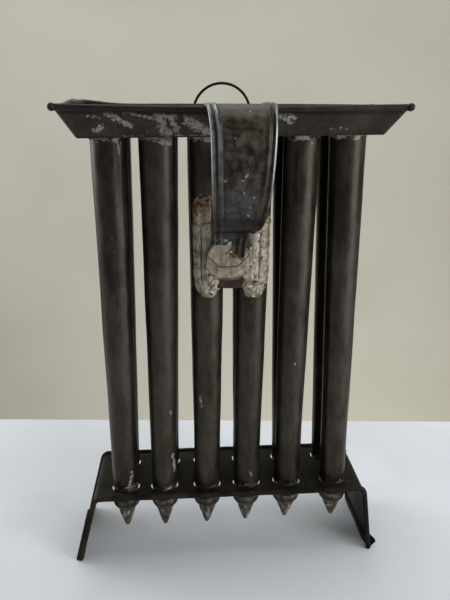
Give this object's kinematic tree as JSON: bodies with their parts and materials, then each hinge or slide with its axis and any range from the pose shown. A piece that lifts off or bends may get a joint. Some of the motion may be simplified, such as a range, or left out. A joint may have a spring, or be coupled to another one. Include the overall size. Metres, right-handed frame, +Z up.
{
  "type": "candle mould",
  "caption": "Tinplate candle mould: rows of tapered tubes between a flared pouring tray and a folded stand, with a strap handle and a hanging ring.",
  "frame": {"origin": "centre of the mould's bounding box at the level its feet stand on", "axes": "+Z up along the tubes, -Y towards the strap handle, +Y towards the hanging ring, +X to the right seen from the handle side"},
  "size_m": [0.221, 0.1286, 0.3354],
  "materials": {
    "tube_tin": "dark aged tinplate, dull sheen with faint lapped seams",
    "tip_tin": "rough aged tinplate and solder, brown-grey",
    "tray_tin": "dark aged tinplate with grey-white oxide smears and rust specks",
    "stand_tin": "dark aged tinplate, smoother and bluer on the legs",
    "strap_tin": "dark blue-grey tinplate with bright rubbed edges",
    "solder": "pale grey solder with tan and brown edges",
    "iron_wire": "nearly black iron wire"
  },
  "bodies": {
    "mould": {"handle_bridge": "tube_tin", "handle_edge_left": "strap_tin", "handle_edge_right": "strap_tin", "handle_pad": "solder", "handle_solder_left": "solder", "handle_solder_right": "solder", "handle_strap": "strap_tin", "rim_back": "tray_tin", "rim_front": "tray_tin", "rim_left": "tray_tin", "rim_right": "tray_tin", "ring_lug": "tray_tin", "stand_sheet": "stand_tin", "stand_wire_back": "stand_tin", "stand_wire_front": "stand_tin", "tip_back_1": "tip_tin", "tip_back_2": "tip_tin", "tip_back_3": "tip_tin", "tip_back_4": "tip_tin", "tip_back_5": "tip_tin", "tip_back_6": "tip_tin", "tip_front_1": "tip_tin", "tip_front_2": "tip_tin", "tip_front_3": "tip_tin", "tip_front_4": "tip_tin", "tip_front_5": "tip_tin", "tip_front_6": "tip_tin", "tray_back_wall": "tray_tin", "tray_floor": "tray_tin", "tray_front_wall": "tray_tin", "tray_left_end": "tray_tin", "tray_right_end": "tray_tin", "tube_back_1": "tube_tin", "tube_back_2": "tube_tin", "tube_back_3": "tube_tin", "tube_back_4": "tube_tin", "tube_back_5": "tube_tin", "tube_back_6": "tube_tin", "tube_front_1": "tube_tin", "tube_front_2": "tube_tin", "tube_front_3": "tube_tin", "tube_front_4": "tube_tin", "tube_front_5": "tube_tin", "tube_front_6": "tube_tin"},
    "ring": {"hanging_ring": "iron_wire"}
  },
  "joints": [
    {"name": "ring_swing", "type": "hinge", "parent": "mould", "child": "ring", "pos_m": [-0.00057, 0.06208, 0.3149], "axis": [-1, 0, 0], "range_deg": [0, 220]}
  ]
}
